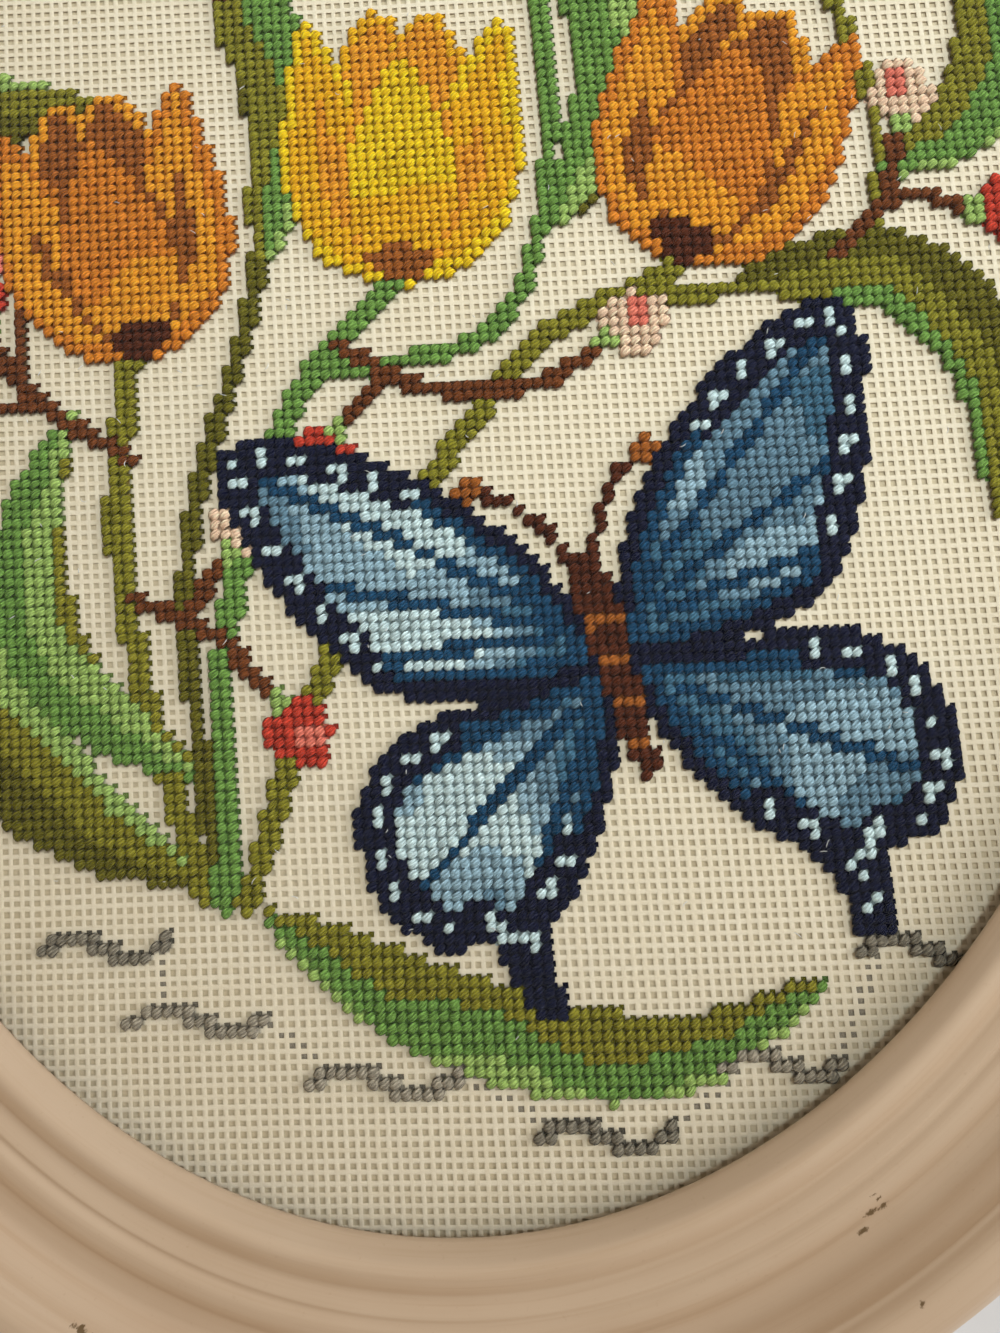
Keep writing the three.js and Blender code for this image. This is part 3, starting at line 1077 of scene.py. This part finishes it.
def wool_backs(canvas, wools, chart):
    """The backs of the stitches, seen through the holes between them and where a stitch ends: at each
    such hole a flat lozenge of wool under the canvas, its points two thirds of a pitch from its middle.
    It is pushed up into the hole between four stitches. Its colour is its wool's, darkened as painted
    shade for the hole: most between four stitches and at the edge of a patch, less where three stitches
    meet or a single strand is carried along behind bare canvas."""
    corners = ((0, 0), (1, 0), (0, 1), (1, 1))
    cells = np.stack([np.roll(chart.yarn, (-dt, -ds), (0, 1)) for ds, dt in corners])
    filled = (cells > 0).sum(0)
    yarn = np.where(cells[0] > 0, cells[0], np.where(filled > 2, cells.max(0), 0))
    carried = (yarn == 0) & chart.carried
    yarn = np.where(carried, YARN_NAMES.index("pewter"), yarn)
    # Painted shade: the share of its wool's colour that each back shows.
    light = np.select([carried, filled == 4, filled == 3], [0.75, 0.42, 0.8], 0.45)
    raised = np.where(filled == 4, 0.84 * MM, 0.0)
    s, t = chart.s + 0.5, chart.t + 0.5
    in_sight = ((np.stack(on_canvas(canvas, s, t), -1) / SIGHT) ** 2).sum(-1) < 1.02
    s, t, yarn, light, raised = (a[(yarn > 0) & in_sight] for a in (s, t, yarn, light, raised))
    rim = 0.66 * np.array([(1, 0), (0, 1), (-1, 0), (0, -1), (0, 0), (0, 0)])
    flat = np.stack([np.stack(on_canvas(canvas, s + ds, t + dt), 1) for ds, dt in rim], 1)
    levels = np.array([3.1, 3.1, 3.1, 3.1, 3.22, 3.03]) * MM + raised[:, None]
    points = at_height(flat, levels).reshape(-1, 3)
    colour = np.c_[wool_colours(wools, yarn) * light[:, None], np.ones(len(s))]
    return points, [repeated(tube(1, 4)[1], 6, len(s))], {"yarn": np.repeat(colour, 6, 0)}


def loose_wool(name):
    """Fuzzy wool, each patch or hair in its own yarn."""
    f = Finish(name, Roughness=0.95, Specular_IOR_Level=0.1)
    fuzz = f.noise(f.place(), 2600, 2.0, 0.6)
    colour = f.veil(f.field("yarn", "Color"), fuzz, 0.4, 0.7, 0.3, (0.004, 0.004, 0.004))
    return f.done(Base_Color=colour, Normal=f.bump(fuzz, 0.0002, 0.6))


class PICTURE_OT_canvas(bpy.types.Operator):
    """Weave the open canvas, and stitch the charted picture on it in wool"""

    bl_idname = "needlework.canvas"
    bl_label = "Canvas and Stitches"

    def execute(self, context):
        canvas, wools = context.scene.needlework_canvas, context.scene.needlework_wool
        chart = picture_chart()
        threads = canvas_threads(canvas, chart.yarn > 0, wool_colours(wools, chart.yarn))
        finish, slot = cotton_thread(canvas), "cotton_canvas"
        cloth = make_piece(
            "canvas_threads", threads, finish, smooth=False, slot=slot, stands_for="canvas"
        )
        rng = np.random.default_rng(7)
        for index, name in enumerate(YARN_NAMES[1:], 1):
            mine = chart.yarn == index
            if mine.any():
                stitches = tent_stitches(canvas, wools, chart.s[mine], chart.t[mine], rng)
                finish = wool(name, tuple(getattr(wools, name)))
                make_piece("wool_" + name, stitches, finish, slot=slot)
        for name, finish, shape in (
            ("wool_backs", "wool_behind", wool_backs(canvas, wools, chart)),
            ("wool_fuzz", "wool_hairs", wool_fuzz(canvas, wools, chart, rng)),
        ):
            make_piece(name, shape, loose_wool(finish), smooth=False, slot=slot)
        float(np.pi * PICTURE.prod())
        return {"FINISHED"}


# ---------------------------------------------------------------------------------------------
# Board and glass
# ---------------------------------------------------------------------------------------------


def pressed_board(settings):
    """Pressed board: brown fibres, with a pale lining paper on the face behind the canvas."""
    f = Finish("pressed_board", Roughness=0.92, Specular_IOR_Level=0.2)
    place, face = f.place(), BOARD_BOX[1].z
    fibres = f.noise(place, 700, 3.0, 0.65)
    flecks = f.noise(place, (2200, 500, 900), 2.0, 0.6)
    blotches = f.noise(place, 22, 3.0, 0.5)
    brown = f.veil(settings.board, flecks, 0.45, 0.7, 0.6, times(settings.board, 0.55))
    lining = f.veil(settings.lining, blotches, 0.35, 0.65, 0.3, times(settings.lining, 0.85, 0.8, 0.7))
    front = f.ramp(f.add("SeparateXYZ", place, output=2), face - 0.3 * MM, face - 0.1 * MM)
    return f.done(Base_Color=f.mix(front, brown, lining), Normal=f.bump(fibres, 0.00012, 0.6))


def picture_glass():
    """Clear thin glass with a faint gloss, as picture glass is coated to cut reflections."""
    f = Finish("picture_glass", Roughness=0.0, IOR=1.17, Transmission_Weight=1.0)
    return f.done(Base_Color=(0.985, 0.992, 0.988))


def lint_fibres(rng, count):
    """Short stray fibres under the glass: each a bent strip of three sections of three points,
    lying flat, with a point at each end."""
    angle = rng.uniform(0, 2 * np.pi, count)[:, None]
    size = rng.uniform(0.7 * MM, 2.0 * MM, count)[:, None]
    bend = rng.normal(0, 0.25, count)[:, None]
    radius, spin = 0.86 * np.sqrt(rng.random(count)), rng.uniform(0, 2 * np.pi, count)
    centre = SIGHT * np.stack([radius * np.cos(spin), radius * np.sin(spin)], 1)
    along = np.linspace(-0.5, 0.5, 5)
    x, y = turned(along * size, bend * size * (along**2 * 4 - 1) * 0.5, angle)
    z = GLASS_BOX[0].z - 0.30 * MM + 0.08 * MM * np.sin(along * 5) + np.zeros_like(x)
    spine = np.stack([centre[:, :1] + x, centre[:, 1:] + y, z], -1)
    cross = np.concatenate([-np.sin(angle), np.cos(angle), np.zeros_like(angle)], 1)[:, None, None]
    offsets = np.array([(-1, -0.5), (1, -0.5), (0, 0.8)]) * 0.085 * MM
    rings = spine[:, 1:4, None] + cross * offsets[:, :1]
    rings[..., 2] += offsets[:, 1]
    points = np.concatenate([rings.reshape(count, 9, 3), spine[:, :1], spine[:, 4:]], 1)
    return points.reshape(-1, 3), [repeated(f, 11, count) for f in tube(3, 3)], {}


def pale_fluff():
    """Pale fluff with a slightly uneven tone."""
    f = Finish("pale_fluff", Roughness=0.9, Sheen_Weight=0.3)
    uneven = f.noise(f.place(), 800, 1.0)
    return f.done(Base_Color=f.mix(uneven, (0.55, 0.56, 0.58), (0.75, 0.74, 0.70)))


class PICTURE_OT_fitting(bpy.types.Operator):
    """Finish the backing board and the glass, and leave a little lint between them"""

    bl_idname = "needlework.fitting"
    bl_label = "Board and Glass"

    def execute(self, context):
        board = pressed_board(context.scene.needlework_canvas)
        recoat("backing_board", board)
        pane = recoat("glass_pane", picture_glass())
        pane.visible_shadow = False
        make_piece("lint", lint_fibres(np.random.default_rng(31), 150), pale_fluff())
        return {"FINISHED"}


# ---------------------------------------------------------------------------------------------
# Stage
# ---------------------------------------------------------------------------------------------


DAYLIGHT = (0.95, 0.98, 1.0)


def aimed(name, kind, place, target, power, colour, **means):
    """A lamp of that kind at its place, turned to its target."""
    data = bpy.data.lights.new(name, kind)
    data.energy, data.color = power, colour
    for key, value in means.items():
        setattr(data, key, value)
    light = bpy.data.objects.new(name, data)
    light.location = place
    light.rotation_euler = (Vector(target) - Vector(place)).to_track_quat("-Z", "Y").to_euler()
    bpy.context.scene.collection.objects.link(light)
    return light


def link_lights(piece, state, *lights):
    """INCLUDE: these lights reach this piece alone. EXCLUDE: they leave it out."""
    group = bpy.data.collections.new(f"{piece.name}_{state.lower()}")
    group.objects.link(piece)
    group.collection_objects[0].light_linking.link_state = state
    for light in lights:
        light.light_linking.receiver_collection = group


def pale_room(strength):
    """The room's warm, even light. It looks a plain pale grey where a ray comes straight from the
    eye, by way of a mirror or through glass, and has met no dull surface: the greatest of the
    three kinds of ray, times whether no dull surface counts."""
    world = bpy.data.worlds.new("pale_room")
    world.use_nodes = True
    tree = Tree(world.node_tree)
    tree.nodes.remove(tree.nodes["Background"])
    light = tree.add("Background", (1.0, 0.83, 0.64), strength)
    backdrop = tree.add("Background", (0.66, 0.65, 0.63), 1.0)
    path = tree.nodes.new("ShaderNodeLightPath").outputs
    seen = tree.math("MAXIMUM", path["Is Camera Ray"], path["Is Glossy Ray"])
    seen = tree.math("MAXIMUM", seen, path["Is Transmission Ray"])
    seen = tree.math("MULTIPLY", seen, tree.math("LESS_THAN", path["Diffuse Depth"], 0.5))
    either = tree.add("MixShader", seen, light, backdrop)
    tree.wire(tree.nodes["World Output"].inputs["Surface"], either)
    return world


def pale_floor(colour):
    """A plain floor, a little uneven in tone."""
    reach = 3.0
    corners = reach * np.array([(-1, -1, 0), (1, -1, 0), (1, 1, 0), (-1, 1, 0)])
    floor = build_mesh("floor", corners, [np.array([[0, 1, 2, 3]])], smooth=False)
    f = Finish("pale_floor", Roughness=0.9, Specular_IOR_Level=0.2)
    uneven = f.veil(colour, f.noise(f.place(), 60, 3.0), 0.3, 0.7, 1.0, times(colour, 0.96))
    floor.data.materials.append(f.done(Base_Color=uneven))
    return floor


def close_camera():
    """A camera close over the lower half of the picture, turned a little to the picture's top."""
    over_the_glass = 0.1984
    eye = Vector((0.134 * SIGHT[0], -0.558 * SIGHT[1], GLASS_BOX[1].z + over_the_glass))
    ahead = Vector((-0.042, 0.106, -0.993)).normalized()
    right = Vector((0.999, -0.003, -0.042)).normalized()
    up = right.cross(ahead).normalized()
    data = bpy.data.cameras.new("camera")
    data.sensor_fit, data.sensor_width, data.lens = "HORIZONTAL", 36.0, 36.0
    data.clip_start, data.clip_end = 0.01, 50.0
    camera = bpy.data.objects.new("camera", data)
    turn = Matrix((ahead.cross(up), up, -ahead)).transposed()
    camera.matrix_world = Matrix.Translation(eye) @ turn.to_4x4()
    bpy.context.scene.collection.objects.link(camera)
    return camera


class PICTURE_OT_stage(bpy.types.Operator):
    """Set the camera over the lower half of the picture, the lights and the pale floor"""

    bl_idname = "needlework.stage"
    bl_label = "Camera, Light and Floor"

    def execute(self, context):
        scene, settings = context.scene, context.scene.needlework_stage
        scene.view_settings.view_transform = "Standard"
        scene.world = pale_room(settings.room)
        floor = pale_floor(settings.floor)
        middle = (0.0, -0.4 * SIGHT[1], 0.01)
        window = aimed(
            "window", "AREA", (1.62, 0.17, 0.69), middle, settings.window, DAYLIGHT,
            shape="RECTANGLE", size=1.35, size_y=1.15,
        )
        # A soft spot that lights a round patch of the picture and fades out over its outer half.
        place, target, reach = Vector((0.25, 0.15, 0.85)), Vector((0.05, 0.05, 0.0)), 0.25
        skylight = aimed(
            "skylight", "SPOT", place, target, settings.skylight, (0.82, 0.95, 1.0),
            spot_size=2 * float(np.arctan2(reach, (target - place).length)), spot_blend=0.51,
            shadow_soft_size=0.12,
        )
        skylight.visible_glossy = skylight.visible_transmission = False
        # Those two lamps would leave pools of light on the floor, so it has an even light of its
        # own, which keeps the object's shadow.
        daylight = aimed(
            "daylight", "SUN", (0.9, 0.5, 1.2), (0.0, 0.0, 0.0), settings.daylight, DAYLIGHT,
            angle=np.radians(50),
        )
        link_lights(floor, "EXCLUDE", window, skylight)
        link_lights(floor, "INCLUDE", daylight)
        scene.camera = close_camera()
        return {"FINISHED"}


class PICTURE_PT_panel(bpy.types.Panel):
    """Lists the pieces of the picture and their settings"""

    bl_idname = "PICTURE_PT_panel"
    bl_label = "Oval Needlework Picture"
    bl_space_type = "VIEW_3D"
    bl_region_type = "UI"
    bl_category = "Picture"

    def draw(self, context):
        scene, layout = context.scene, self.layout
        for operator, group in (
            (PICTURE_OT_moulding, scene.needlework_moulding),
            (PICTURE_OT_canvas, scene.needlework_canvas),
            (PICTURE_OT_fitting, scene.needlework_wool),
            (PICTURE_OT_stage, scene.needlework_stage),
        ):
            box = layout.box()
            box.operator(operator.bl_idname)
            for name in group.bl_rna.properties.keys():
                if name not in ("rna_type", "name"):
                    box.prop(group, name)


SETTINGS = {
    "needlework_moulding": MouldingSettings,
    "needlework_canvas": CanvasSettings,
    "needlework_wool": WoolSettings,
    "needlework_stage": StageSettings,
}
OPERATORS = (PICTURE_OT_moulding, PICTURE_OT_canvas, PICTURE_OT_fitting, PICTURE_OT_stage)


def register():
    for cls in (*SETTINGS.values(), *OPERATORS, PICTURE_PT_panel):
        bpy.utils.register_class(cls)
    for name, cls in SETTINGS.items():
        setattr(bpy.types.Scene, name, PointerProperty(type=cls))


def unregister():
    for name in SETTINGS:
        delattr(bpy.types.Scene, name)
    for cls in (PICTURE_PT_panel, *reversed(OPERATORS), *reversed(SETTINGS.values())):
        bpy.utils.unregister_class(cls)


def main():
    """Builds every piece in order."""
    register()
    for operator in OPERATORS:
        group, name = operator.bl_idname.split(".")
        getattr(getattr(bpy.ops, group), name)()


if __name__ == "__main__":
    main()
